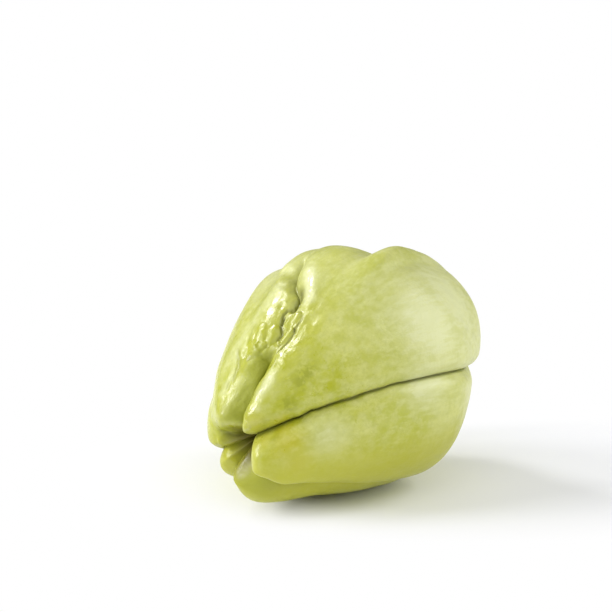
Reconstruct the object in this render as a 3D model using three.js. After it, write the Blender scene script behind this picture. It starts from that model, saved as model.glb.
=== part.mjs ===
// A chayote squash: one pear-shaped fruit with deep folds running from the stem pit to the blossom end.
// Millimetres, +Z up. The blossom end points along +X, the stem end along -X and dips towards the ground.
// The skin is one closed surface, swept round a leaning axis and cut by six folds.
import * as THREE from 'three';

// ---- driving dimensions -------------------------------------------------------------------------------
// The half outline, from the bottom of the stem pit over the rim and belly to the blossom dimple.
// Each knot is one step of the outline: how far along the fruit's axis, and how far out from it.
const ALONG = [17, 9, 0.5, 4.5, 21, 46.5, 76, 104, 121, 119];
const OUT = [0, 5, 13, 22.2, 33.7, 46.3, 51.5, 37.6, 22, 0];
const LAST_KNOT = ALONG.length - 1;

// Folds and lobes are stated at these knots: pit mouth, rim, shoulder, neck, belly and crown.
const STATIONS = [1.4, 2.2, 3, 4.2, 6, 8];

const NOSE_DOWN = 14.3;      // degrees that the axis leans towards the stem end
const TALL = 0.97;           // squash of the section, up and down
const BROAD = 0.95;          // squash of the section, side to side
const CORE_START = 30;       // lobes swell away from the stretch of axis between these two distances
const CORE_END = 95;
const ROUNDNESS = 0.7;       // how full a lobe is between its two folds: smaller is fuller
const AXIS_START = -59.24;   // X of the axis at knot distance 0
const AXIS_HEIGHT = 28.5;    // Z of the axis at knot distance 0
const AXIS_SIDE = -0.63;     // Y of the axis

// Every fold, clockwise round the stem end from the front seam. Angles are degrees from straight up.
// angle, depth (mm) and lean (mm, how far the bottom of the fold is pushed round) are given per station.
// reach is how far (mm) the fold rounds off the lobe beside it, and sharp is how tight its bottom is.
const FOLDS = [
  {
    name: 'front seam',
    angle: [50, 55, 60, 67, 83, 114],
    depth: [5, 5, 4, 3, 3.5, 7],
    lean: [0, -0.5, -1, -1, -0.5, 0],
    reach: 6.5,
    sharp: 2.4,
  },
  {
    name: 'front lower fold',
    angle: [140, 124, 133, 135, 146, 150],
    depth: [9, 10, 8, 4.5, 3, 3],
    lean: [-4, -5, -5, -3, -1, 0],
    reach: 13,
    sharp: 3,
  },
  {
    name: 'belly fold',
    angle: [224, 217, 207, 204, 191, 188],
    depth: [6, 5, 6, 5, 4, 3],
    lean: [-2, -2, -2, -1, 0, 0],
    reach: 14,
    sharp: 2.6,
  },
  {
    name: 'back lower fold',
    angle: [240, 248, 243, 237, 233, 228],
    depth: [7, 7, 5, 4, 4, 3],
    lean: [2, 2, 1, 0, 0, 0],
    reach: 14,
    sharp: 2.6,
  },
  {
    name: 'back seam',
    angle: [294, 302, 297, 291, 289, 291],
    depth: [5, 3.5, 2.5, 3.5, 4, 4],
    lean: [-1, -1, 0, 0, 0, 0],
    reach: 10,
    sharp: 2.6,
  },
  {
    name: 'wrinkled fold',
    angle: [382, 381, 380, 370, 344, 343],
    depth: [6, 6.5, 5.5, 3.5, 1, 1.5],
    lean: [2, 2, 1, 0, 0, 0],
    reach: 12,
    sharp: 2.4,
  },
];

// The lobe between each fold and the next: how far it swells past the half outline (mm) per station.
const LOBES = [
  { name: 'front lobe', swell: [6, 6.5, 4.5, 1.3, 0.5, -1.7], columns: 13 },
  { name: 'under lobe', swell: [6.4, 3.2, 3, -2.4, -3.2, 1.5], columns: 9 },
  { name: 'back under lobe', swell: [0, -1.6, 0, 0, 1.5, 2.5], columns: 7 },
  { name: 'back lobe', swell: [1, -0.5, -0.8, 0, 2, 2.5], columns: 9 },
  { name: 'top back lobe', swell: [2, 1, -2, -0.3, 4.6, 3], columns: 11 },
  { name: 'top front lobe', swell: [0.5, 2.5, 3.5, 4, 4.5, 4.4], columns: 15 },
];

// Broad shallow valleys (depth above 0) and soft ridges (depth below 0), half of whose width is in mm:
// the crest valley, the valley along the top back lobe, the crest ridge and the shallow end of the
// wrinkled fold.
const CREST_VALLEY = { angle: [375, 382, 386, 381, 369, 358], depth: [0, 0, 0, 0, 5, 3.4], half: 13 };
const SOFT_FORMS = [
  CREST_VALLEY,
  { angle: [318, 337, 352, 342, 323, 326], depth: [0, 0.3, 1.5, 1.2, 3.3, 2], half: 11 },
  { angle: [375, 382, 400, 393, 381, 374], depth: [0, 0, 0, 0, -5, -1.5], half: 9 },
  { angle: [382, 381, 380, 370, 344, 343], depth: [0, 0, 0, 0, -1.5, -0.5], half: 12 },
];
// Extra height of the narrow crest between the wrinkled fold and its valley, per station.
const CREST = [0, 0, 0, 0.5, 1.5, 0];

const RINGS_PER_KNOT = 5;
const OPEN_SHARP = 2;        // folds open out to this blunter bottom at the mouth of the pit
const OPEN_KNOT = 2;         // they are fully open up to this knot,
const TIGHT_KNOT = 4;        // and have their own sharpness from this one
const CROWDING = 0.1;        // pulls the columns of the mesh towards the folds
const FOLD_FADE_PIT = 1.4;   // folds fade out over this many knots at the bottom of the stem pit
const FOLD_FADE_CROWN = 0.6; // and over this many knots at the blossom dimple
const SKIN_COLOUR = '#bec65c';

const DEGREE = Math.PI / 180;
const clamp = THREE.MathUtils.clamp;

// ---- smooth curves ------------------------------------------------------------------------------------

// A Catmull-Rom curve through evenly spaced values; knot 0 is the first value.
function through(values, knot) {
  const last = values.length - 1;
  const position = clamp(knot, 0, last - 1e-9);
  const index = Math.floor(position);
  const t = position - index;
  const b = values[index];
  const c = values[index + 1];
  const a = index > 0 ? values[index - 1] : 2 * b - c;
  const d = index < last - 1 ? values[index + 2] : 2 * c - b;
  const linear = (c - a) * t;
  const square = (2 * a - 5 * b + 4 * c - d) * t * t;
  const cube = (3 * b - a - 3 * c + d) * t * t * t;
  return 0.5 * (2 * b + linear + square + cube);
}

// A smooth curve through one value per station, level at both ends.
function atStation(values, knot) {
  const last = STATIONS.length - 1;
  const position = clamp(knot, STATIONS[0], STATIONS[last] - 1e-9);
  const index = STATIONS.findLastIndex((station) => station <= position);
  const gap = (i) => STATIONS[i + 1] - STATIONS[i];
  const rise = (i) => (values[i + 1] - values[i]) / gap(i);
  const slope = (i) => {
    if (i === 0 || i === last) return 0;
    return (rise(i - 1) * gap(i) + rise(i) * gap(i - 1)) / (gap(i) + gap(i - 1));
  };
  const h = gap(index);
  const t = (position - STATIONS[index]) / h;
  const t2 = t * t;
  const t3 = t2 * t;
  const ends = (2 * t3 - 3 * t2 + 1) * values[index] + (3 * t2 - 2 * t3) * values[index + 1];
  return ends + (t3 - 2 * t2 + t) * h * slope(index) + (t3 - t2) * h * slope(index + 1);
}

// The full, rounded section of a lobe, 0 at both of its folds and 1 halfway.
function dome(share) {
  return Math.pow(4 * share * (1 - share), ROUNDNESS);
}

// ---- the skin -----------------------------------------------------------------------------------------

// One ring of skin points at a knot of the half outline, as [x, y, z] lists.
function ring(knot) {
  const along = through(ALONG, knot);
  const out = Math.max(through(OUT, knot), 0);
  const away = along - clamp(along, CORE_START, CORE_END);
  const fromCore = Math.hypot(away, out);
  const turn = DEGREE * Math.max(out, 7);          // millimetres round the skin per degree
  const fade = Math.min(knot / FOLD_FADE_PIT, (LAST_KNOT - knot) / FOLD_FADE_CROWN, 1);
  const tight = clamp((knot - OPEN_KNOT) / (TIGHT_KNOT - OPEN_KNOT), 0, 1);
  const points = [];
  LOBES.forEach((lobe, index) => {
    const fold = FOLDS[index];
    const next = FOLDS[(index + 1) % FOLDS.length];
    const start = atStation(fold.angle, knot);
    const span = (((atStation(next.angle, knot) - start) % 360) + 360) % 360;
    const half = Math.max(span * turn * 0.5, 1);
    const cut = (side, distance) => {
      const sharp = OPEN_SHARP + (side.sharp - OPEN_SHARP) * tight;
      return Math.pow(clamp(1 - distance / Math.min(side.reach, half), 0, 1), sharp);
    };
    for (let column = 0; column < lobe.columns; column += 1) {
      const even = column / lobe.columns;
      const share = even - CROWDING * Math.sin(2 * Math.PI * even);
      const angle = start + span * share;
      const cutStart = cut(fold, span * share * turn);
      const cutEnd = cut(next, span * (1 - share) * turn);
      let height = atStation(lobe.swell, knot) * dome(share);
      height -= atStation(fold.depth, knot) * cutStart;
      height -= atStation(next.depth, knot) * cutEnd;
      if (lobe.name === 'top front lobe') {
        const crestSpan = atStation(CREST_VALLEY.angle, knot) - start;
        height += atStation(CREST, knot) * dome(clamp((span * share) / ((crestSpan + 360) % 360), 0, 1));
      }
      SOFT_FORMS.forEach((form) => {
        const offset = ((angle - atStation(form.angle, knot) + 900) % 360) - 180;
        const t = clamp((offset * turn) / form.half, -1, 1);
        height -= atStation(form.depth, knot) * (0.5 + 0.5 * Math.cos(Math.PI * t));
      });
      const push = atStation(fold.lean, knot) * cutStart + atStation(next.lean, knot) * cutEnd;
      const direction = (angle + (push * fade) / turn) * DEGREE;
      const radius = Math.max(out + (out / fromCore) * height * fade, 0.25 * Math.min(out, 4));
      const reach = along + (away / fromCore) * height * fade;
      points.push(place(reach, radius, direction));
    }
  });
  return points;
}

// Puts a skin point into the part's frame, and presses the lowest skin flat against the ground.
function place(along, radius, direction) {
  const lean = NOSE_DOWN * DEGREE;
  const up = radius * Math.cos(direction) * TALL;
  const side = radius * Math.sin(direction) * BROAD;
  const x = AXIS_START + along * Math.cos(lean) - up * Math.sin(lean);
  const z = AXIS_HEIGHT + along * Math.sin(lean) + up * Math.cos(lean);
  return [x, AXIS_SIDE - side, Math.max(z, 0)];
}

// ---- one closed mesh ----------------------------------------------------------------------------------

function fruitGeometry() {
  const ringCount = LAST_KNOT * RINGS_PER_KNOT - 1;
  const columnCount = LOBES.reduce((sum, lobe) => sum + lobe.columns, 0);
  const points = [place(ALONG[0], 0, 0)];
  for (let index = 1; index <= ringCount; index += 1) {
    points.push(...ring(index / RINGS_PER_KNOT));
  }
  points.push(place(ALONG[LAST_KNOT], 0, 0));
  const triangles = [];
  const pitBottom = 0;
  const blossom = points.length - 1;
  const at = (row, column) => 1 + row * columnCount + (column % columnCount);
  for (let column = 0; column < columnCount; column += 1) {
    triangles.push(pitBottom, at(0, column + 1), at(0, column));
    for (let row = 0; row < ringCount - 1; row += 1) {
      triangles.push(at(row, column), at(row, column + 1), at(row + 1, column + 1));
      triangles.push(at(row, column), at(row + 1, column + 1), at(row + 1, column));
    }
    triangles.push(blossom, at(ringCount - 1, column), at(ringCount - 1, column + 1));
  }
  const geometry = new THREE.BufferGeometry();
  geometry.setAttribute('position', new THREE.Float32BufferAttribute(points.flat(), 3));
  geometry.setIndex(triangles);
  geometry.computeVertexNormals();
  return geometry;
}

const skin = new THREE.MeshStandardMaterial({ color: SKIN_COLOUR, roughness: 0.42, metalness: 0 });
const fruit = new THREE.Mesh(fruitGeometry(), skin);
fruit.name = 'chayote_fruit';

const group = new THREE.Group();
group.name = 'chayote_squash';
group.add(fruit);

export default group;
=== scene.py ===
import math

import bpy
import numpy as np
from mathutils import Matrix, Vector, noise


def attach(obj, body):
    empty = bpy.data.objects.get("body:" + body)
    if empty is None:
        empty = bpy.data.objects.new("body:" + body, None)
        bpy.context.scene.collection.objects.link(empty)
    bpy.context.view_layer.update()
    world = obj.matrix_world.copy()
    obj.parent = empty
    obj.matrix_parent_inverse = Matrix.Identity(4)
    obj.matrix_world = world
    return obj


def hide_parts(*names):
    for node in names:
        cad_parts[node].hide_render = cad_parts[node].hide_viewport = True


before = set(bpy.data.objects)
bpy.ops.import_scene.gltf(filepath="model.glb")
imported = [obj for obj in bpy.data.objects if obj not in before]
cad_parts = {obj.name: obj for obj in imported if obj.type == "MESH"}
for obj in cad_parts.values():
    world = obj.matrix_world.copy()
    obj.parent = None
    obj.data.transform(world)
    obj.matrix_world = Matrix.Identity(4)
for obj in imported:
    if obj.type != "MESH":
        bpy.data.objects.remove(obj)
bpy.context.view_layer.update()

scene = bpy.context.scene

# ---- Chayote ------------------------------------------------------------------------------------------
# One pear-shaped fruit that grew as a single piece, with a smooth, waxy, yellow-green skin. It lies on its
# lower lobes. The skin is swept round an axis that dips towards the stem pit; it swells into six lobes and
# sinks into the folds between them, and one closed mesh takes all of it.

# Places on the skin are (knot, degrees): knots run from 0 in the stem pit to 9 at the blossom end, and
# degrees run clockwise from straight up, seen from the stem pit. Lengths are millimetres.
ALONG = [17, 9, 0.5, 4.5, 21, 46.5, 76, 104, 121, 119]        # along the axis, at each knot
OUT = [0, 5, 13, 22.2, 33.7, 46.3, 51.5, 37.6, 22, 0]         # out from the axis, at each knot
STATIONS = [1.4, 2.2, 3, 4.2, 6, 8]                           # pit mouth, rim, shoulder, neck, belly, crown
LAST_KNOT = len(ALONG) - 1
NOSE_DOWN = math.radians(14.3)
AXIS_START = (-59.24, -0.63, 28.5)
TALL, BROAD = 0.97, 0.95        # the body across the axis, against its profile
CORE = (30, 95)                 # the part of the axis that lobes and folds point away from
NEAREST_OUT = 7                 # a degree round the fruit counts as at least this far from the axis
PIT_FADE, CROWN_FADE = 1.4, 0.6     # lobes and folds fade out over these last knots
ROUNDNESS = 0.7                 # of a lobe's back: 1 is a parabola, and less is fuller
OPEN_SHARP = 2                  # how sharp a fold is at the stem pit, where it is open
ROWS = 262                      # of the mesh, from end to end
WARTS_MIDDLE, WARTS_REACH = 4.5, 1.1    # the knots where the rows of the mesh crowd
FOLD_CROWD = 0.09               # the share of a lobe beside each fold where the columns crowd

# Each fold has an angle, a depth and a sideways lean at each station. Its reach is how far it opens to
# each side; a sharper fold is narrower at the bottom. The wrinkled fold's angles have their own stations.
FOLDS = {
    "front seam": dict(angle=[50, 55, 60, 67, 83, 114], depth=[5, 5, 4, 3, 3.5, 7],
                       lean=[0, -0.5, -1, -1, -0.5, 0], reach=6.5, sharp=2.4),
    "front lower": dict(angle=[140, 128, 135, 136, 146, 150], depth=[9, 10, 8, 4.5, 3, 3],
                        lean=[-4, -5, -5, -3, -1, 0], reach=13, sharp=3),
    "belly": dict(angle=[224, 217, 207, 204, 191, 188], depth=[6, 5, 6, 5, 4, 3],
                  lean=[-2, -2, -2, -1, 0, 0], reach=14, sharp=2.6),
    "back lower": dict(angle=[240, 248, 243, 237, 233, 228], depth=[7, 7, 5, 4, 4, 3],
                       lean=[2, 2, 1, 0, 0, 0], reach=14, sharp=2.6),
    "back seam": dict(angle=[294, 302, 297, 291, 289, 291], depth=[5, 3.5, 2.5, 3.5, 4, 4],
                      lean=[-1, -1, 0, 0, 0, 0], reach=10, sharp=2.6),
    "wrinkled": dict(stations=[1.4, 2.2, 2.7, 3.04, 3.42, 3.86, 4.05, 4.2, 4.45, 4.62, 4.8, 4.95, 5.15,
                               5.35, 5.6, 6, 8],
                     angle=[382, 377, 372.5, 373, 371.5, 371.5, 369.5, 369.5, 369.5, 367.5, 365, 363.5,
                            355, 349.5, 346, 344, 343],
                     depth=[6, 6.5, 5.5, 3.5, 1, 1.5], lean=[2, 2, 1, 0, 0, 0], reach=12, sharp=2.4),
}
# Each lobe lies between its fold in the list above and the next; columns is its share of the mesh.
LOBES = {
    "front": dict(swell=[6, 6.5, 4.5, 1.3, 0.5, -1.7], columns=60),
    "under": dict(swell=[6.4, 3.2, 3, -2.4, -3.2, 1.5], columns=36),
    "back under": dict(swell=[0, -1.6, 0, 0, 1.5, 2.5], columns=34),
    "back": dict(swell=[1, -0.5, -0.8, 0, 2, 2.5], columns=34),
    "top back": dict(swell=[2, 1, -2, -0.3, 4.6, 3], columns=118),
    "top front": dict(swell=[0.5, 2.5, 3.5, 4, 4.5, 4.4], columns=90),
}
# Broad valleys (depth above 0) and ridges (below 0) on the lobes, with the half width of each. The late
# ones start past the neck.
SOFT_FORMS = {
    "crest valley": dict(angle=[375, 382, 386, 381, 369, 358], depth=[0, 0, 0, 0, 5, 3.4], half=13,
                         late=True),
    "back valley": dict(angle=[318, 337, 352, 342, 323, 326], depth=[0, 0.3, 1.5, 1.2, 3.3, 2], half=11),
    "crest ridge": dict(angle=[375, 382, 400, 393, 381, 374], depth=[0, 0, 0, 0, -5, -1.5], half=9,
                        late=True),
    "fold's end": dict(angle=[382, 381, 380, 370, 344, 343], depth=[0, 0, 0, 0, -1.5, -0.5], half=12),
}
CREST_SWELL = [0, 0, 0, 0.5, 1.5, 0]        # more swell from the front seam up to the crest valley


def through(values, knot):
    """A smooth curve through evenly spaced values, read at each knot."""
    v = np.array([2 * values[0] - values[1]] + list(values) + [2 * values[-1] - values[-2]], float)
    knot = np.clip(knot, 0, len(values) - 1 - 1e-9)
    i = np.floor(knot).astype(int)
    t = knot - i
    a, b, c, d = v[i], v[i + 1], v[i + 2], v[i + 3]
    return 0.5 * (2 * b + (c - a) * t + (2 * a - 5 * b + 4 * c - d) * t ** 2
                  + (3 * b - a - 3 * c + d) * t ** 3)


def dome(share):
    """The back of a lobe: 0 at its folds, 1 half way between them, and fuller than a parabola."""
    return (4 * share * (1 - share)) ** ROUNDNESS


def rounded(t):
    """1 at the middle, 0 from 1 outwards."""
    return 0.5 + 0.5 * np.cos(np.pi * np.clip(t, -1, 1))


def step(start, end, value):
    """0 up to start, 1 from end, smooth between."""
    t = np.clip((value - start) / (end - start), 0, 1)
    return t * t * (3 - 2 * t)


def stretch(start, full, fading, end, value):
    """0 up to start, 1 from full to fading, 0 from end, smooth between."""
    return step(start, full, value) * (1 - step(fading, end, value))


def turn_between(angle, centre):
    return (angle - centre + 180) % 360 - 180


# The rows of the mesh are about a millimetre apart, and less than half of that over the warts and knobs.
fine = np.linspace(0, LAST_KNOT, 2001)
gaps = np.hypot(np.gradient(through(ALONG, fine)), np.gradient(through(OUT, fine)))
crowded = gaps * (0.42 + rounded((fine - WARTS_MIDDLE) / WARTS_REACH))
crowded = np.cumsum(crowded / (0.3 + np.minimum(gaps / gaps.max(), 1)))
crowded = (crowded - crowded[0]) / (crowded[-1] - crowded[0])
knot = np.interp(np.linspace(0, 1, ROWS + 2)[1:-1], crowded, fine)
along = through(ALONG, knot)[:, None]
out = np.maximum(through(OUT, knot), 0)[:, None]
away = along - np.clip(along, *CORE)
from_core = np.hypot(away, out)
mm_per_degree = np.radians(1) * np.maximum(out, NEAREST_OUT)
mm_per_knot = (np.hypot(np.gradient(along[:, 0]), np.gradient(out[:, 0])) / np.gradient(knot))[:, None]
fade = np.minimum(np.minimum(knot / PIT_FADE, (LAST_KNOT - knot) / CROWN_FADE), 1)[:, None]
tight = np.clip((knot - 2) / 2, 0, 1)[:, None]        # 0 at the rim of the stem pit, 1 at the neck


def at_station(values, stations=STATIONS):
    """A smooth curve through one value per station, level at both ends: one number for each row."""
    s, v = np.array(stations, float), np.array(values, float)
    gap = np.diff(s)
    rise = np.diff(v) / gap
    slope = np.zeros(len(v))
    slope[1:-1] = (rise[:-1] * gap[1:] + rise[1:] * gap[:-1]) / (gap[1:] + gap[:-1])
    inside = np.clip(knot, s[0], s[-1] - 1e-9)
    i = np.searchsorted(s, inside, side="right") - 1
    h = gap[i]
    t = (inside - s[i]) / h
    return ((2 * t ** 3 - 3 * t ** 2 + 1) * v[i] + (3 * t ** 2 - 2 * t ** 3) * v[i + 1]
            + (t ** 3 - 2 * t ** 2 + t) * h * slope[i] + (t ** 3 - t ** 2) * h * slope[i + 1])[:, None]


# Each fold's course; the front seam also wanders a little: knot, half length and degrees of each bend.
SEAM_BENDS = [(3.62, 0.12, 0.8), (3.85, 0.12, -0.7), (4.5, 0.2, 0.5), (5.1, 0.2, -0.4)]
course = {name: at_station(fold["angle"], fold.get("stations", STATIONS)) for name, fold in FOLDS.items()}
for centre, half, degrees in SEAM_BENDS:
    course["front seam"] = course["front seam"] + degrees * rounded((knot[:, None] - centre) / half)

# The bottoms of the folds are a little rounded. The wrinkled one is wide at its knobs, and it fades into a
# soft hollow over the crown.
bottom_mm = {name: 0.15 for name in FOLDS}
wide_bottom = 0.25 + 3 * stretch(4.02, 4.2, 4.72, 4.85, knot) + 4 * step(5.25, 5.8, knot)
bottom_mm["wrinkled"] = wide_bottom[:, None]
crease_mm = {name: 0.7 for name in FOLDS}
crease_mm["wrinkled"] = 1.1
late_start = (0.05 + 0.95 * step(5.2, 6.7, knot))[:, None]

fold_names = list(FOLDS)
even = np.linspace(0, 1, 501)
parts = {"angle": [], "height": [], "lean": [], "crease_shade": []}
for number, (name, lobe) in enumerate(LOBES.items()):
    sides = (fold_names[number], fold_names[(number + 1) % len(fold_names)])
    start = course[sides[0]]
    span = (course[sides[1]] - start) % 360
    # the columns of the mesh crowd at the folds, and on the half of the top back lobe that has the warts
    crowding = 1 + 3 * np.exp(-(even / FOLD_CROWD) ** 2) + 3 * np.exp(-((1 - even) / FOLD_CROWD) ** 2)
    if name == "top back":
        crowding = crowding + 2 * step(0.45, 0.6, even)
    crowding = np.cumsum(crowding) - crowding[0]
    share = np.interp(np.arange(lobe["columns"]) / lobe["columns"], crowding / crowding[-1], even)[None, :]
    half_span = np.maximum(span * mm_per_degree * 0.5, 1)
    angle = start + span * share
    height = at_station(lobe["swell"]) * dome(share)
    lean, crease_shade = 0, 0
    for side, distance in zip(sides, (share, 1 - share)):
        fold, bottom = FOLDS[side], bottom_mm[side]
        depth = at_station(fold["depth"])
        mm = distance * mm_per_degree * span
        past_bottom = np.hypot(mm, bottom) - bottom
        sharp = OPEN_SHARP + (fold["sharp"] - OPEN_SHARP) * tight
        cut = np.clip(1 - past_bottom / np.minimum(fold["reach"], half_span), 0, 1) ** sharp
        height = height - depth * cut
        lean = lean + at_station(fold["lean"]) * cut
        # Near each fold's bottom the skin gets a mask for painted crease shade.
        shut = np.clip(depth / 3, 0, 1) / (1 + bottom)
        crease_shade = np.maximum(crease_shade, np.exp(-(mm / crease_mm[side]) ** 2) * shut)
    if name == "top front":
        crest_span = (at_station(SOFT_FORMS["crest valley"]["angle"]) - start) % 360
        height = height + at_station(CREST_SWELL) * dome(np.clip(span * share / crest_span, 0, 1))
    for form in SOFT_FORMS.values():
        offset = turn_between(angle, at_station(form["angle"])) * mm_per_degree
        strength = late_start if form.get("late") else 1
        height = height - at_station(form["depth"]) * strength * rounded(offset / form["half"])
    for key, value in (("angle", angle), ("height", height), ("lean", lean), ("crease_shade", crease_shade)):
        parts[key].append(value)
angle, height, lean, crease_shade = (np.concatenate(parts[key], 1) for key in parts)
knots = knot[:, None] + 0 * angle


def mm_from(fold_name):
    """How far the skin is past a fold, in mm round the fruit."""
    return turn_between(angle, course[fold_name]) * mm_per_degree


from_wrinkle, from_front_lower = mm_from("wrinkled"), mm_from("front lower")


def spot(at, size):
    """How near the skin is to a place: 1 there, 0 at its half length and half width in mm."""
    row = int(np.argmin(np.abs(knot - at[0])))
    down = (knots - at[0]) * mm_per_knot[row, 0]
    across = turn_between(angle, at[1]) * mm_per_degree
    return rounded(np.hypot(down / size[0], across / size[1]))


def line(places):
    """The skin's distance in mm from a line of places, and how far along the line that is, 0 to 1."""
    nearest, reached = np.full(angle.shape, 1e3), np.zeros(angle.shape)
    ends = list(zip(places, places[1:])) or [(places[0], places[0])]        # one place is a round spot
    for number, (first, second) in enumerate(ends):
        row = int(np.argmin(np.abs(knot - (first[0] + second[0]) / 2)))
        down = (knots - first[0]) * mm_per_knot[row, 0]
        across = turn_between(angle, first[1]) * mm_per_degree
        run_down = (second[0] - first[0]) * mm_per_knot[row, 0]
        run_across = turn_between(second[1], first[1]) * mm_per_degree[row, 0]
        share = (down * run_down + across * run_across) / max(run_down ** 2 + run_across ** 2, 1e-9)
        share = np.clip(share, 0, 1)
        distance = np.hypot(down - share * run_down, across - share * run_across)
        reached = np.where(distance < nearest, (number + share) / len(ends), reached)
        nearest = np.minimum(distance, nearest)
    return nearest, reached


# Grooves in the skin: half width and depth in mm, then the places they pass through.
GROOVES = {
    "upper crack": (0.5, 0.7, [(5.06, 358), (4.98, 3), (4.9, 5.5), (4.81, 5), (4.75, 1), (4.68, 0.5),
                               (4.6, 1.5), (4.52, 3.5), (4.42, 7.5), (4.33, 7), (4.22, 8.5)]),
    "pocket": (0.85, 1.3, [(5.12, 357), (5.04, 2.5), (4.95, 5.5), (4.86, 5.5), (4.78, 5.5), (4.74, 2)]),
    "dark pit": (0.7, 0.9, [(4.67, 1), (4.62, 1.8), (4.54, 3)]),
    "outer crack": (0.5, 0.8, [(4.72, 14), (4.61, 15.5), (4.5, 15), (4.44, 16.8), (4.35, 17), (4.24, 16.5),
                               (4.12, 15.5), (4.0, 13.5)]),
    "lower crack": (0.6, 1.2, [(4.06, 11.5), (3.95, 12), (3.86, 12.2), (3.67, 11.7), (3.42, 12),
                               (3.15, 14)]),
    "under the warts": (1.1, 0.5, [(3.84, 349.5), (3.9, 355), (3.96, 0), (3.98, 6), (4.02, 10)]),
    "brown hollow": (1.7, 0.6, [(4.17, 345.5), (4.05, 346), (3.92, 348)]),
    "left of the warts": (1.5, 0.3, [(4.42, 340), (4.26, 342), (4.13, 343.5), (4.0, 344), (3.82, 346)]),
    "far left": (1.0, 0.35, [(4.16, 333), (3.88, 340), (3.66, 344)]),
    "far left, lower": (1.0, 0.3, [(3.77, 341), (3.6, 342.5), (3.38, 341)]),
    "by the pit": (0.6, 0.8, [(1.9, 298), (1.72, 292), (1.6, 288), (1.45, 285), (1.24, 283), (1.0, 281)]),
    "crest crease": (1.8, 0.4, [(5.75, 7), (5.55, 8.5), (5.27, 11), (5.1, 13), (4.95, 14.5), (4.8, 17)]),
    "fold's end": (1.9, 1.1, [(5.78, 344.5), (5.6, 346.5), (5.45, 348.5), (5.3, 350.5), (5.15, 355)]),
    "behind the knob": (3.2, 0.9, [(5.5, 334), (5.42, 340), (5.37, 346), (5.33, 350)]),
}
# Cracks also get painted shade in their colour.
WIDEST_CRACK = 1.3              # a groove with less half width than this is a crack, and darker
# Beads and warts in the wrinkled fold: half width and height in mm, then the places they pass through.
BEADS = {
    "upper bead": (2.9, 1.6, [(4.65, 10), (4.61, 9.6), (4.57, 9)]),
    "lower bead": (2.3, 1.3, [(4.44, 12), (4.36, 11.8), (4.26, 11)]),
    "hooked bead": (2.3, 1.3, [(4.19, 9.4), (4.12, 7.4), (4.08, 5.4)]),
    "long knob": (2.9, 0.7, [(4.42, 2), (4.35, 2.5), (4.25, 3)]),
    "left knob": (3.2, 0.7, [(4.38, 351), (4.3, 352.5), (4.26, 353.2)]),
    "middle wart": (2.1, 1.0, [(4.145, 359)]),
    "left wart": (2.0, 0.9, [(4.11, 353.8)]),
    "low wart": (2.1, 0.9, [(4.03, 354.5), (4.02, 357)]),
}
# Rises (above 0) and dips (below 0): a place, its half length and half width in mm, and the rise in mm.
# The last three fill out the tip of the front lobe.
RISES = [
    ((4.72, 339), (10, 8), 0.6), ((4.42, 346), (5, 4), 0.3),
    ((3.78, 352), (7, 6), 0.7), ((3.82, 1), (6, 6), 0.6), ((4.78, 356), (2.4, 2.2), -0.4),
    ((4.67, 21), (4, 3.8), -0.8), ((4.78, 26), (3.5, 3), 0.4), ((4.3, 348.5), (3, 1.6), -0.5),
    ((4.74, 18.5), (2.6, 2.4), 0.5), ((4.56, 20.5), (3, 2.4), 0.25), ((5.34, 46), (7, 7), -0.8),
    ((5.2, 32), (5, 5), -0.4), ((4.65, 44), (4.5, 4.5), -0.4), ((3.35, 338), (4, 1.6), -0.4),
    ((3.5, 331), (3.5, 1.5), -0.3), ((3.83, 18), (4, 3), 0.4), ((3.6, 19), (3.6, 2.6), -0.3),
    ((1.9, 108), (7, 9), 1.2), ((2.4, 108), (8, 14), 2.3), ((2.95, 118), (8, 9), 1.6),
]
BEAD_ROUNDNESS = 0.85
SMOOTHING_ROUNDS = 400
SLIT_HALF_WIDTH, SLIT_DEPTH = 0.45, 1.1

# The wrinkled fold is a round trough under its beads, and its sides run together over the crown. The lobes
# beside the lower end of the back seam merge.
trough = stretch(3.98, 4.15, 4.72, 4.86, knots) * rounded(from_wrinkle / 5.5)
runs_out = stretch(5.6, 5.95, 6.6, 8, knots) * rounded(from_wrinkle / 16)
merged = stretch(1.75, 2.25, 3.3, 4, knots) * rounded(mm_from("back seam") / 12)
softened = np.max([trough, runs_out, merged], axis=0)
for _ in range(SMOOTHING_ROUNDS):
    height = height + 0.25 * softened * (np.roll(height, 1, 1) + np.roll(height, -1, 1) - 2 * height)

for half_width, rise, places in BEADS.values():
    distance, _ = line(places)
    height = height + rise * np.clip(1 - (distance / half_width) ** 2, 0, 1) ** BEAD_ROUNDNESS
for at, size, rise in RISES:
    height = height + rise * spot(at, size)
# The cracks build a mask of painted shade as they are cut.
crack_shade = 0
for half_width, depth, places in GROOVES.values():
    distance, reached = line(places)
    groove = np.exp(-(distance / half_width) ** 2) * stretch(0, 0.2, 0.8, 1, reached)
    height = height - depth * groove
    if half_width < WIDEST_CRACK:
        crack_shade = np.maximum(crack_shade, groove ** 0.7 * min(depth, 1))

# The front seam is a shut slit: its two lips meet almost flush.
slit = np.exp(-(mm_from("front seam") / SLIT_HALF_WIDTH) ** 2)
height = height - SLIT_DEPTH * slit * stretch(2.6, 3.4, 6.8, 7.6, knots)

# Near the ends a deep fold stops softly short of the axis.
SOFT_STOP = 0.8
least = 0.25 * np.minimum(out, 4)
radius = out + out / from_core * height * fade
radius = least + SOFT_STOP * np.logaddexp(0, (radius - least) / SOFT_STOP)
reach = along + away / from_core * height * fade
direction = np.radians(angle + lean * fade / mm_per_degree)


def place(reach, radius, direction):
    """Points in metres, from mm along the axis, mm out from it and the direction round it."""
    up, side = radius * np.cos(direction) * TALL, radius * np.sin(direction) * BROAD
    x = AXIS_START[0] + reach * math.cos(NOSE_DOWN) - up * math.sin(NOSE_DOWN)
    z = AXIS_START[2] + reach * math.sin(NOSE_DOWN) + up * math.cos(NOSE_DOWN)
    return np.stack([x, AXIS_START[1] - side, z], -1) / 1000


skin_points = place(reach, radius, direction)


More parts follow.
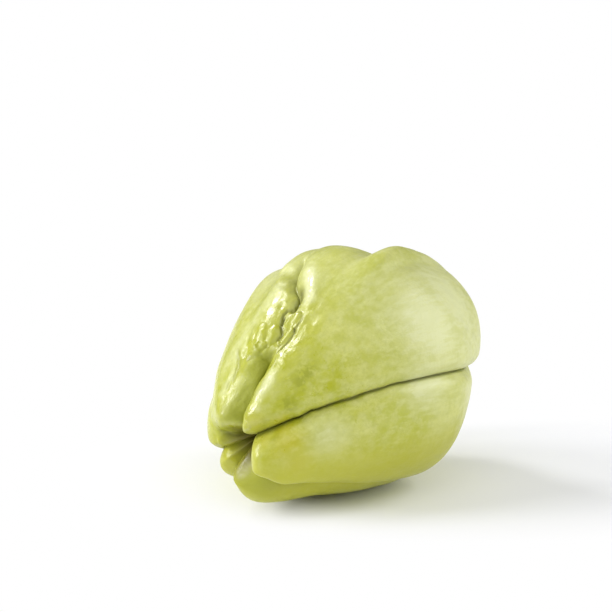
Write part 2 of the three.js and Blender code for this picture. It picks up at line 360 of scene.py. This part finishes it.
def skin_noise(scale_mm, seed):
    """Smooth noise, about -1 to 1, over the skin; its lumps are about scale_mm wide."""
    shift = Vector((seed, -seed, 2 * seed))
    flat = (skin_points.reshape(-1, 3) * (1000 / scale_mm)).tolist()
    values = [noise.noise(Vector(p) + shift) for p in flat]
    return np.array(values).reshape(knots.shape)


# Low lumps all over, and small uneven wrinkling round the wrinkled fold: height and width in mm, and a
# seed. Nothing sinks below the table.
LUMPS = [(0.3, 17, 3), (0.12, 7, 8)]
SMALL_WRINKLES = [(0.36, 5, 5), (0.17, 2.6, 7)]
round_skin = np.stack([np.gradient(skin_points[..., i], axis=1) for i in range(3)], -1)
down_skin = np.stack([np.gradient(skin_points[..., i], axis=0) for i in range(3)], -1)
outward = np.cross(down_skin, round_skin)
outward /= np.linalg.norm(outward, axis=-1, keepdims=True) + 1e-12
wrinkled_zone = rounded(from_wrinkle / 24) * stretch(1.6, 2.5, 5.0, 5.8, knots)
lumps = sum(high * skin_noise(wide, seed) for high, wide, seed in LUMPS)
lumps = lumps + wrinkled_zone * sum(high * skin_noise(wide, seed) for high, wide, seed in SMALL_WRINKLES)
lumps = lumps * stretch(0.8, 2.0, 8.3, 8.9, knots)
skin_points = skin_points + outward * lumps[..., None] / 1000
skin_points[..., 2] = np.maximum(skin_points[..., 2], 0)

# A sphere with as many rows and columns takes the skin's shape, point by point; its poles close the ends.
columns = skin_points.shape[1]
bpy.ops.object.select_all(action="DESELECT")
bpy.ops.mesh.primitive_uv_sphere_add(segments=columns, ring_count=ROWS + 1)
chayote = bpy.context.object
chayote.name = "chayote"
sphere = np.empty(len(chayote.data.vertices) * 3)
chayote.data.vertices.foreach_get("co", sphere)
sphere = sphere.reshape(-1, 3)
row = np.rint(np.arccos(np.clip(sphere[:, 2], -1, 1)) / np.pi * (ROWS + 1)).astype(int) - 1
column = np.rint(np.arctan2(sphere[:, 1], sphere[:, 0]) / (2 * np.pi) * columns).astype(int) % columns
pit_end, crown_end = row < 0, row >= ROWS
row = np.clip(row, 0, ROWS - 1)
shaped = skin_points[row, column]
shaped[pit_end] = place(ALONG[0], 0, 0)
shaped[crown_end] = place(ALONG[-1], 0, 0)
chayote.data.vertices.foreach_set("co", shaped.ravel())
chayote.data.update()
bpy.ops.object.mode_set(mode="EDIT")
bpy.ops.mesh.select_all(action="SELECT")
bpy.ops.mesh.normals_make_consistent(inside=False)
bpy.ops.object.mode_set(mode="OBJECT")
bpy.ops.object.shade_smooth()
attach(chayote, "root")
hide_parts("chayote_fruit")

skin_mm = skin_points * 1000
above_table = skin_mm[..., 2]


def strongest(patches):
    """Round patches of a mark: 1 at each centre, in the part's frame in mm, and 0 at its reach in mm."""
    return np.max([rounded(np.linalg.norm(skin_mm - np.array(centre), axis=-1) / reach_mm)
                   for centre, reach_mm in patches], axis=0)


YELLOW_PATCHES = [
    ((-64.4, -13.8, 43.5), 8), ((-56.6, -26.3, 36.2), 13), ((-53.3, -28.2, 27), 11),
    ((-60.8, -15.5, 36.5), 8), ((-56.3, -22.3, 40.8), 9),
]
# Patches of paler skin with painted sheen in them.
PALE_AND_SHEEN_PATCHES = [
    ((1.6, -44.9, 74.6), 22), ((27, -37.3, 79), 24), ((-3.6, -47.2, 50.9), 16),
    ((-42.4, -33.4, 36.6), 14), ((-56, -13.8, 56.5), 8), ((-25.6, -3.1, 85.9), 14),
]
# Green blotches: strength, place, half length and half width in mm.
GREEN_BLOTCHES = [
    (1, (4.04, 40), (7, 6)), (1, (3.9, 43), (5, 5)), (0.8, (3.54, 49), (6, 6)), (0.9, (2.9, 48), (3, 4)),
    (0.6, (3.0, 68), (5, 5)), (0.5, (3.3, 338), (6, 6)), (0.5, (3.7, 0), (7, 5)),
]
# Bands of painted sheen, paler skin, beside the wrinkled fold: half width in mm, then places.
PAINTED_SHEEN_BANDS = [
    (7, [(5.05, 345), (4.7, 343), (4.45, 338), (4.1, 332), (3.68, 327)]),
    (5, [(3.5, 336), (3.15, 332)]),
    (4, [(3.7, 24), (3.4, 27), (3.05, 33)]),
    (4, [(5.35, 0), (5.15, 5), (4.9, 12)]),
]
painted_sheen_band = np.max([rounded(line(places)[0] / half_width) for half_width, places in PAINTED_SHEEN_BANDS], axis=0)
round_fold = rounded(from_wrinkle / 26) * stretch(1.6, 2.6, 4.9, 5.6, knots)
beside_fold = stretch(-13, -5, -1, 3, from_wrinkle) * stretch(1.6, 2.2, 3.9, 4.4, knots)
under_front = rounded((from_front_lower - 5) / 14) * stretch(1.2, 1.7, 2.2, 3.6, knots)
# Painted shade under the overhang of the front lobe.
overhang_shade = rounded((from_front_lower - 1) / 3.5) * stretch(1.8, 2.3, 3.0, 3.8, knots)
# Paler skin high on the crown half, partly a bloom and partly painted sheen; less at the very top.
crown_bloom_and_sheen = step(4.2, 6.2, knots) * step(30, 60, above_table) * (1 - 0.6 * step(88, 98, above_table))

# Where the skin's colour and gloss change, from 0 to about 1 at each point of the mesh. The crease, fold,
# shade and low marks are painted shade, and the pale mark holds painted sheen.
MARKS = {
    # Painted shade in the creases of the folds, in the cracks and under the front lobe.
    "crease_shade": np.max([crease_shade * (1 - merged) * (0.6 + 0.4 * step(2.4, 3.2, knots)), crack_shade,
                      0.7 * overhang_shade], axis=0),
    # Painted shade round the wrinkled fold, held back in the painted sheen bands.
    "painted_fold_shade": (1 - 0.85 * painted_sheen_band) * round_fold,
    "wrinkled": round_fold,
    "shade": np.maximum(beside_fold, 0.7 * under_front),
    "green": np.max([strength * spot(at, size) for strength, at, size in GREEN_BLOTCHES], axis=0),
    "yellow": strongest(YELLOW_PATCHES),
    # Paler skin with painted sheen: the sheen bands, the crown, the patches and two spots of painted sheen.
    "pale": (0.5 * painted_sheen_band + 0.75 * crown_bloom_and_sheen + 0.5 * spot((7.6, 345), (16, 16))
             + 0.4 * spot((5.6, 103), (12, 12)) + 0.8 * strongest(PALE_AND_SHEEN_PATCHES)),
    # Painted shade on the skin low down, near the table.
    "low": (1 - step(20, 40, above_table)) * (0.45 + 0.55 * step(3, 14, above_table)),
    "pit": np.maximum(1 - step(0.8, 1.9, knots), step(8.75, 8.95, knots)),
}
for name, values in MARKS.items():
    mark = chayote.data.attributes.new(name, "FLOAT", "POINT")
    flat = values[row, column]
    flat[pit_end] = values[0].mean() if name == "pit" else 0
    flat[crown_end] = values[-1].mean() if name == "pit" else 0
    mark.data.foreach_set("value", flat.astype(np.float32))


class Signal:
    """A number inside a node tree: arithmetic on it adds Math nodes."""

    def __init__(self, nodes, socket):
        self.nodes, self.socket = nodes, socket

    def math(self, operation, first, second):
        return self.nodes.node("ShaderNodeMath", {"operation": operation}, {0: first, 1: second})

    def __add__(self, other):
        return self.math("ADD", self, other)

    def __sub__(self, other):
        return self.math("SUBTRACT", self, other)

    def __rsub__(self, other):
        return self.math("SUBTRACT", other, self)

    def __mul__(self, other):
        return self.math("MULTIPLY", self, other)

    __radd__, __rmul__ = __add__, __mul__


class Nodes:
    """The node tree of a material or of the world: one method adds a node of any kind."""

    def __init__(self, owner):
        owner.use_nodes = True
        self.owner, self.tree = owner, owner.node_tree

    def node(self, kind, settings, sockets, output=0):
        made = self.tree.nodes.new(kind)
        for name, value in settings.items():
            setattr(made, name, value)
        for name, value in sockets.items():
            self.feed(made.inputs[name], value)
        return Signal(self, made.outputs[output])

    def feed(self, socket, value):
        if isinstance(value, Signal):
            self.tree.links.new(value.socket, socket)
        else:
            socket.default_value = value

    def mark(self, name):
        return self.node("ShaderNodeAttribute", {"attribute_name": name}, {}, "Fac")

    def noise(self, spread, scale, detail, roughness):
        return self.node("ShaderNodeTexNoise", {}, {"Vector": spread, "Scale": scale, "Detail": detail,
                                                    "Roughness": roughness}, "Fac")

    def ramp(self, value, low, high):
        """0 at low, 1 at high, smooth between."""
        return self.node("ShaderNodeMapRange", {"interpolation_type": "SMOOTHSTEP"},
                         {"Value": value, "From Min": low, "From Max": high})

    def blend(self, share, first, second):
        return self.node("ShaderNodeMix", {"data_type": "RGBA"}, {0: share, 6: first, 7: second}, 2)


def colour(red, green, blue):
    """A screen colour, 0 to 255, as the linear colour that a shader takes."""
    return [((v / 255 + 0.055) / 1.055) ** 2.4 for v in (red, green, blue)] + [1]


skin = Nodes(bpy.data.materials.new("chayote_skin"))
surface = skin.tree.nodes["Principled BSDF"].inputs
here = skin.node("ShaderNodeTexCoord", {}, {}, "Object")
lengthwise = skin.node("ShaderNodeMapping", {}, {"Vector": here, "Rotation": (0, NOSE_DOWN, 0),
                                                 "Scale": (0.16, 1, 1)})
broad_tone = skin.noise(here, 50, 3, 0.5)
small_tone = skin.noise(here, 150, 3, 0.5)
mottle = skin.noise(here, 270, 2, 0.5)
streak = skin.noise(lengthwise, 420, 3, 0.6)
fleck = skin.noise(here, 700, 3, 0.7)
blotch = skin.noise(here, 420, 3, 0.6)
green = skin.mark("green") * (0.15 + 1.15 * skin.ramp(blotch, 0.4, 0.6))
# Paler skin with painted sheen, streaked along the fruit.
pale = skin.mark("pale") * (0.66 + 0.25 * skin.ramp(streak, 0.4, 0.62))

# The skin's colour, from the broad yellow-green tones to its marks: how much of each, and its colour.
# Painted shade and painted sheen are among the marks.
base = colour(172, 177, 10)
for share, tint in (
    (skin.ramp(broad_tone, 0.34, 0.66), (197, 199, 102)),
    (skin.ramp(small_tone, 0.36, 0.68) * 0.65, (170, 175, 10)),
    (skin.ramp(mottle, 0.4, 0.68) * 0.45, (199, 201, 122)),
    (skin.ramp(streak, 0.46, 0.72) * 0.4, (208, 210, 124)),
    (skin.ramp(fleck, 0.4, 0.7) * 0.35, (160, 167, 36)),
    (green * 0.95, (148, 154, 0)),
    (skin.mark("yellow") * 0.45, (200, 188, 56)),
    # Paler skin with painted sheen.
    (pale, (208, 211, 152)),
    # Painted shade round the wrinkled fold.
    (skin.mark("painted_fold_shade") * 0.75, (164, 168, 8)),
    # Painted shade low down, near the table.
    (skin.mark("low") * 0.85, (178, 178, 14)),
    # Painted shade in creases and cracks.
    (skin.mark("crease_shade") * 0.85, (96, 98, 4)),
    (skin.mark("shade") * 0.8, (140, 146, 2)),
    (skin.mark("pit") * 0.8, (78, 66, 18)),
):
    base = skin.blend(share, base, colour(*tint))
skin.feed(surface["Base Color"], base)

# Its gloss is uneven: duller in creases, shade and pale skin, with broken, waxy streaks by the fold.
gloss_break = skin.noise(here, 260, 4, 0.65)
skin.feed(surface["Roughness"], 0.13 + 0.26 * gloss_break + 0.08 * streak
          + 0.3 * skin.mark("crease_shade") + 0.2 * skin.mark("pale") + 0.08 * skin.mark("low")
          + 0.35 * skin.mark("shade") + 0.2 * skin.mark("green"))
wrinkles = skin.noise(lengthwise, 300, 3, 0.6)
waxy = skin.ramp(wrinkles, 0.42, 0.6) * (0.15 + 0.85 * skin.mark("wrinkled"))
skin.feed(surface["Coat Weight"], waxy * (1 - skin.mark("shade")) * (1 - 0.8 * skin.mark("green")))
surface["Coat Roughness"].default_value = 0.13
surface["Specular IOR Level"].default_value = 0.85
surface["IOR"].default_value = 1.45

pores = skin.noise(here, 900, 3, 0.7)
pebbles = skin.noise(here, 320, 3, 0.55)
relief = 0.45 * pebbles + 0.2 * pores + 0.25 * streak + 1.3 * skin.mark("wrinkled") * wrinkles
bump = skin.node("ShaderNodeBump", {}, {"Height": relief, "Strength": 0.5, "Distance": 0.0008})
skin.feed(surface["Normal"], bump)
surface["Subsurface Weight"].default_value = 0.12
surface["Subsurface Radius"].default_value = (0.004, 0.0035, 0.0012)
surface["Subsurface Scale"].default_value = 1.0
chayote.data.materials.clear()
chayote.data.materials.append(skin.owner)

# ---- Table ----------------------------------------------------------------------------------------------
# A plain white table top under the fruit. Far from the fruit it shows as plain white to the camera, so that
# it runs into the background with no edge; near the fruit it keeps the fruit's shadow.
VIEW_TURN = math.radians(-47.5)         # the camera stands this far round from the -Y side
# The shadow's middle is 50 mm to the right of the fruit and 20 mm behind it, seen from the camera. The way
# back counts 1.9 times, so the shadow's patch is wider than it is deep.
SHADOW_RIGHT, SHADOW_BEHIND, WAY_BACK = 0.05, 0.02, 1.9
SHADOW_FADES, SHADOW_ENDS = 0.088, 0.17
bpy.ops.object.select_all(action="DESELECT")
bpy.ops.mesh.primitive_plane_add(size=8, location=(0, 0, 0))
table = bpy.context.object
table.name = "table"
white = Nodes(bpy.data.materials.new("white_table"))
top = white.tree.nodes["Principled BSDF"]
top.inputs["Base Color"].default_value = (0.92, 0.925, 0.95, 1)
top.inputs["Roughness"].default_value = 0.75
spread = white.node("ShaderNodeTexCoord", {}, {}, "Object")
spread = white.node("ShaderNodeMapping", {}, {"Vector": spread, "Rotation": (0, 0, -VIEW_TURN)})
spread = white.node("ShaderNodeMapping", {}, {
    "Vector": spread, "Location": (-SHADOW_RIGHT, -SHADOW_BEHIND * WAY_BACK, 0), "Scale": (1, WAY_BACK, 1)})
from_shadow = white.node("ShaderNodeVectorMath", {"operation": "LENGTH"}, {0: spread}, "Value")
sight = white.node("ShaderNodeLightPath", {}, {}, "Is Camera Ray")
plain = sight * white.ramp(from_shadow, SHADOW_FADES, SHADOW_ENDS)
glow = white.node("ShaderNodeEmission", {}, {"Color": (1, 1, 1, 1), "Strength": 1.0})
whole = white.node("ShaderNodeMixShader", {}, {0: plain, 1: Signal(white, top.outputs[0]), 2: glow})
white.feed(white.tree.nodes["Material Output"].inputs["Surface"], whole)
table.data.materials.append(white.owner)

# ---- Camera -----------------------------------------------------------------------------------------------
# A long lens that looks at the stem pit and the front lobe from 13 degrees above level. It is slid to the
# left and up without turning, so the fruit sits a little right of the middle of its view, and below it.
VIEW_RISE, VIEW_DISTANCE = math.radians(13), 0.6857
LOOKS_AT = Vector((0.0008, -0.0006, 0.0488))
SLIDE_RIGHT, SLIDE_UP = -0.0139, 0.0253
back = Vector((math.sin(VIEW_TURN) * math.cos(VIEW_RISE), -math.cos(VIEW_TURN) * math.cos(VIEW_RISE),
               math.sin(VIEW_RISE)))
right = Vector((math.cos(VIEW_TURN), math.sin(VIEW_TURN), 0))
upward = back.cross(right)
eye = LOOKS_AT + back * VIEW_DISTANCE + right * SLIDE_RIGHT + upward * SLIDE_UP
camera = bpy.data.objects.new("camera", bpy.data.cameras.new("camera"))
scene.collection.objects.link(camera)
camera.matrix_world = Matrix.Translation(eye) @ Matrix((right, upward, back)).transposed().to_4x4()
camera.data.lens, camera.data.sensor_width = 100, 36
scene.camera = camera
scene.view_settings.view_transform = "Standard"

# ---- Studio -----------------------------------------------------------------------------------------------
# A white room that lights the fruit softly and shows as plain white, and square soft lamps: windows at the
# left and behind, a large panel at the right, and two weak panels in front.
SKY_LIGHT, BACKDROP_IN_GLOSS = 0.27, 0.05
LAMP_DISTANCE = 0.95
LAMPS_LOOK_AT = Vector((0, 0, 0.05))
studio = Nodes(bpy.data.worlds.new("studio"))
scene.world = studio.owner
sky = studio.tree.nodes["Background"]
sky.inputs["Color"].default_value = (1, 1, 1, 1)
sky.inputs["Strength"].default_value = SKY_LIGHT
backdrop = studio.node("ShaderNodeBackground", {}, {"Color": (1, 1, 1, 1), "Strength": 1.0})
seen = studio.node("ShaderNodeLightPath", {}, {}, "Is Camera Ray")
reflected = studio.node("ShaderNodeLightPath", {}, {}, "Is Glossy Ray")
room = studio.node("ShaderNodeMixShader", {}, {0: seen + BACKDROP_IN_GLOSS * reflected,
                                               1: Signal(studio, sky.outputs[0]), 2: backdrop})
studio.feed(studio.tree.nodes["World Output"].inputs["Surface"], room)


def lamp(name, turn, rise, size, power):
    """A square soft light, in metres and watts: turn degrees to the camera's right, and rise degrees up."""
    data = bpy.data.lights.new(name, "AREA")
    data.size, data.energy = size, power
    light = bpy.data.objects.new(name, data)
    scene.collection.objects.link(light)
    toward = back * math.cos(math.radians(turn)) + right * math.sin(math.radians(turn))
    toward.z = 0
    toward = toward.normalized() * math.cos(math.radians(rise))
    toward.z = math.sin(math.radians(rise))
    light.location = LAMPS_LOOK_AT + toward * LAMP_DISTANCE
    light.rotation_euler = toward.to_track_quat("Z", "Y").to_euler()


lamp("high window", -130, 42, 0.22, 3.0)
lamp("rim window", -100, 33, 0.26, 2.3)
lamp("low window", -70, 28, 0.28, 3.8)
lamp("side panel", 86, 30, 0.7, 6.0)
lamp("front panel", 0, 52, 0.9, 1.9)
lamp("low panel", -28, 9, 0.6, 1.3)
